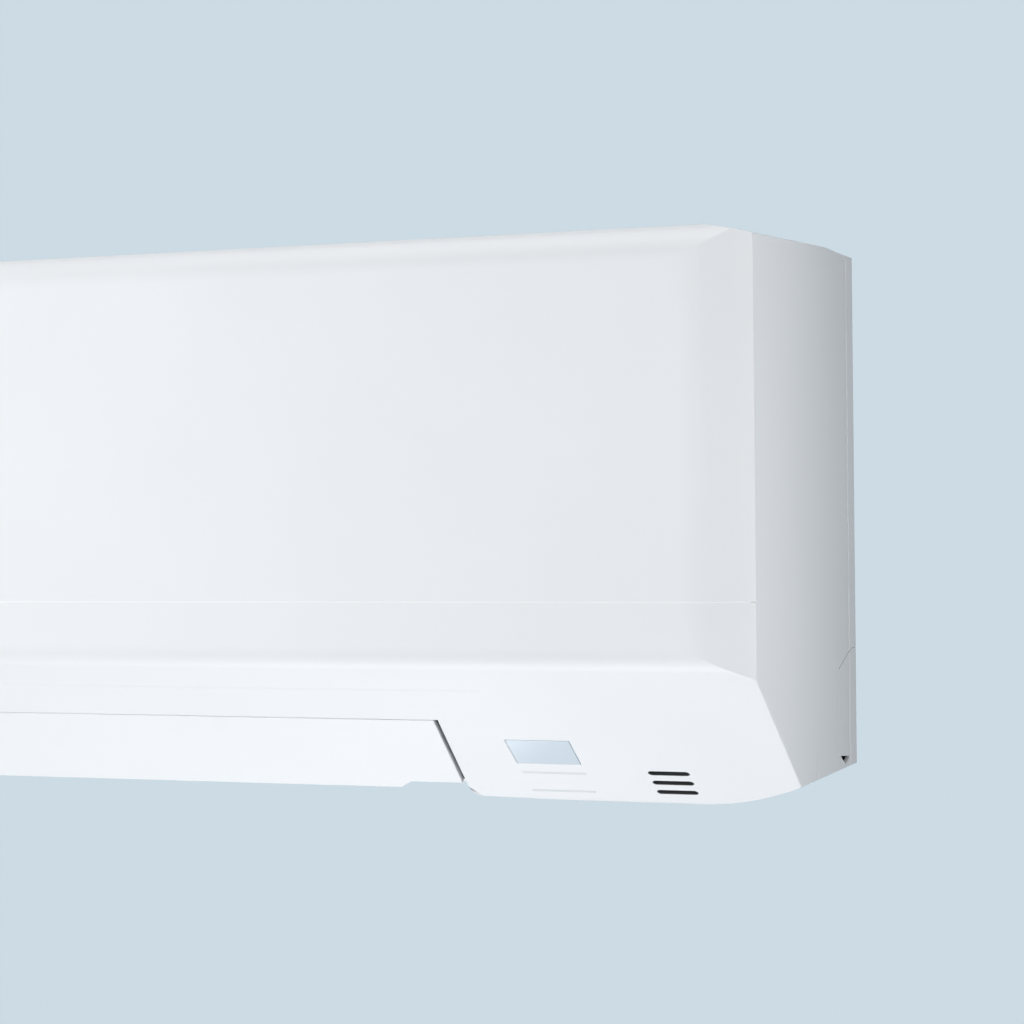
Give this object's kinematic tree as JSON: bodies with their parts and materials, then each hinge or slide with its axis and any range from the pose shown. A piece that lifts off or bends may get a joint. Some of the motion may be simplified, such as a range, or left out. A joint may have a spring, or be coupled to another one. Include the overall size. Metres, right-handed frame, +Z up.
{
  "type": "mini split indoor unit",
  "caption": "Wall-mounted indoor unit of a split air conditioner, with a lift-up front panel, an outlet flap, side-to-side vanes, filters, a coil, a cross-flow fan and a wall plate.",
  "frame": {"origin": "middle of the four wall screw holes, on the wall plane at the back of the mounting plate", "axes": "+X right as seen from the room, +Y into the wall, +Z up"},
  "size_m": [0.799, 0.232, 0.297],
  "materials": {
    "white_shell": "satin",
    "white_vane": "satin",
    "window_tint": "gloss",
    "light_guide": "satin",
    "inner_plastic": "matt",
    "duct_plastic": "matt",
    "fan_plastic": "matt",
    "filter_frame": "matt",
    "filter_mesh": "woven net",
    "zinc_steel": "zinc plated",
    "fins": "coated",
    "copper": "drawn copper",
    "brass": "machined",
    "motor_shell": "moulded",
    "rubber": "matt",
    "foam": "closed-cell foam",
    "board": "solder mask",
    "box_plastic": "flame resistant",
    "bearing_metal": "sintered"
  },
  "bodies": {
    "unit": {"bearing_holder": "rubber", "casing_screws": "zinc_steel", "chassis": "inner_plastic", "coil_end_plate_left": "zinc_steel", "coil_end_plate_right": "zinc_steel", "coil_hairpins": "copper", "corner_cover_left": "white_shell", "corner_cover_right": "white_shell", "drain_plug": "rubber", "electrical_box": "box_plastic", "electrical_cover": "zinc_steel", "fan_bearing": "bearing_metal", "fan_motor": "motor_shell", "fin_pack_front_lower": "fins", "fin_pack_front_upper": "fins", "fin_pack_rear": "fins", "front_grille": "white_shell", "gas_pipe": "copper", "gas_union": "brass", "light_guides": "light_guide", "liquid_pipe": "copper", "liquid_union": "brass", "main_board": "board", "motor_cover": "inner_plastic", "motor_mounts": "rubber", "mounting_plate": "zinc_steel", "outlet_frame": "duct_plastic", "pipe_clamps": "inner_plastic", "pipe_insulation": "foam", "receiver_board": "board", "return_bends": "copper", "room_sensor": "rubber", "signal_window": "window_tint", "switch_board": "board", "terminal_block": "box_plastic", "terminal_screws": "zinc_steel", "vane_motor": "zinc_steel"},
    "front_panel_body": {"front_panel": "white_shell"},
    "vane_body": {"horizontal_vane": "white_vane", "vane_shaft": "inner_plastic"},
    "fan_body": {"cross_flow_fan": "fan_plastic", "fan_stub_shaft": "zinc_steel", "motor_shaft": "zinc_steel"},
    "filter_left_body": {"filter_frame_left": "filter_frame", "filter_mesh_left": "filter_mesh"},
    "filter_right_body": {"filter_frame_right": "filter_frame", "filter_mesh_right": "filter_mesh"},
    "button_body": {"emergency_button": "inner_plastic"},
    "link_left_body": {"link_rod_left": "duct_plastic"},
    "link_right_body": {"link_rod_right": "duct_plastic"},
    "air_vane_left_1_body": {"air_vane_left_1": "duct_plastic"},
    "air_vane_left_2_body": {"air_vane_left_2": "duct_plastic"},
    "air_vane_left_3_body": {"air_vane_left_3": "duct_plastic"},
    "air_vane_left_4_body": {"air_vane_left_4": "duct_plastic"},
    "air_vane_left_5_body": {"air_vane_left_5": "duct_plastic"},
    "air_vane_right_1_body": {"air_vane_right_1": "duct_plastic"},
    "air_vane_right_2_body": {"air_vane_right_2": "duct_plastic"},
    "air_vane_right_3_body": {"air_vane_right_3": "duct_plastic"},
    "air_vane_right_4_body": {"air_vane_right_4": "duct_plastic"},
    "air_vane_right_5_body": {"air_vane_right_5": "duct_plastic"}
  },
  "joints": [
    {"name": "front_panel_hinge", "type": "hinge", "parent": "unit", "child": "front_panel_body", "pos_m": [0, -0.214, 0.1195], "axis": [-1, 0, 0], "range_deg": [0, 70]},
    {"name": "horizontal_vane_hinge", "type": "hinge", "parent": "unit", "child": "vane_body", "pos_m": [0, -0.13611, -0.14347], "axis": [1, 0, 0], "range_deg": [0, 80]},
    {"name": "fan_spin", "type": "hinge", "parent": "unit", "child": "fan_body", "pos_m": [0, -0.112, -0.03], "axis": [1, 0, 0], "continuous": true},
    {"name": "filter_left_lift", "type": "slide", "parent": "unit", "child": "filter_left_body", "axis": [0, 0, 1], "range_m": [0, 0.005]},
    {"name": "filter_right_lift", "type": "slide", "parent": "unit", "child": "filter_right_body", "axis": [0, 0, 1], "range_m": [0, 0.005]},
    {"name": "emergency_button_press", "type": "slide", "parent": "unit", "child": "button_body", "axis": [0, 1, 0], "range_m": [0, 0.0015], "stiffness_N_per_m": 400},
    {"name": "air_vane_left_1_turn", "type": "hinge", "parent": "unit", "child": "air_vane_left_1_body", "pos_m": [-0.325, -0.16245, -0.07426], "axis": [0, 0.823, -0.5681], "range_deg": [-30, 30]},
    {"name": "air_vane_left_2_turn", "type": "hinge", "parent": "unit", "child": "air_vane_left_2_body", "pos_m": [-0.268, -0.16245, -0.07426], "axis": [0, 0.823, -0.5681], "range_deg": [-30, 30]},
    {"name": "air_vane_left_3_turn", "type": "hinge", "parent": "unit", "child": "air_vane_left_3_body", "pos_m": [-0.211, -0.16245, -0.07426], "axis": [0, 0.823, -0.5681], "range_deg": [-30, 30]},
    {"name": "air_vane_left_4_turn", "type": "hinge", "parent": "unit", "child": "air_vane_left_4_body", "pos_m": [-0.154, -0.16245, -0.07426], "axis": [0, 0.823, -0.5681], "range_deg": [-30, 30]},
    {"name": "air_vane_left_5_turn", "type": "hinge", "parent": "unit", "child": "air_vane_left_5_body", "pos_m": [-0.097, -0.16245, -0.07426], "axis": [0, 0.823, -0.5681], "range_deg": [-30, 30]},
    {"name": "link_left_slide", "type": "slide", "parent": "unit", "child": "link_left_body", "axis": [1, 0, 0], "range_m": [-0.00575, 0.00575]},
    {"name": "air_vane_right_1_turn", "type": "hinge", "parent": "unit", "child": "air_vane_right_1_body", "pos_m": [-0.04, -0.16245, -0.07426], "axis": [0, 0.823, -0.5681], "range_deg": [-30, 30]},
    {"name": "air_vane_right_2_turn", "type": "hinge", "parent": "unit", "child": "air_vane_right_2_body", "pos_m": [0.017, -0.16245, -0.07426], "axis": [0, 0.823, -0.5681], "range_deg": [-30, 30]},
    {"name": "air_vane_right_3_turn", "type": "hinge", "parent": "unit", "child": "air_vane_right_3_body", "pos_m": [0.074, -0.16245, -0.07426], "axis": [0, 0.823, -0.5681], "range_deg": [-30, 30]},
    {"name": "air_vane_right_4_turn", "type": "hinge", "parent": "unit", "child": "air_vane_right_4_body", "pos_m": [0.131, -0.16245, -0.07426], "axis": [0, 0.823, -0.5681], "range_deg": [-30, 30]},
    {"name": "air_vane_right_5_turn", "type": "hinge", "parent": "unit", "child": "air_vane_right_5_body", "pos_m": [0.188, -0.16245, -0.07426], "axis": [0, 0.823, -0.5681], "range_deg": [-30, 30]},
    {"name": "link_right_slide", "type": "slide", "parent": "unit", "child": "link_right_body", "axis": [1, 0, 0], "range_m": [-0.00575, 0.00575]}
  ],
  "couplings": [
    {"joint": "air_vane_left_1_turn", "follows": "link_left_slide", "rad_per_m": -91.061},
    {"joint": "air_vane_left_2_turn", "follows": "link_left_slide", "rad_per_m": -91.061},
    {"joint": "air_vane_left_3_turn", "follows": "link_left_slide", "rad_per_m": -91.061},
    {"joint": "air_vane_left_4_turn", "follows": "link_left_slide", "rad_per_m": -91.061},
    {"joint": "air_vane_left_5_turn", "follows": "link_left_slide", "rad_per_m": -91.061},
    {"joint": "air_vane_right_1_turn", "follows": "link_right_slide", "rad_per_m": -91.061},
    {"joint": "air_vane_right_2_turn", "follows": "link_right_slide", "rad_per_m": -91.061},
    {"joint": "air_vane_right_3_turn", "follows": "link_right_slide", "rad_per_m": -91.061},
    {"joint": "air_vane_right_4_turn", "follows": "link_right_slide", "rad_per_m": -91.061},
    {"joint": "air_vane_right_5_turn", "follows": "link_right_slide", "rad_per_m": -91.061}
  ]
}
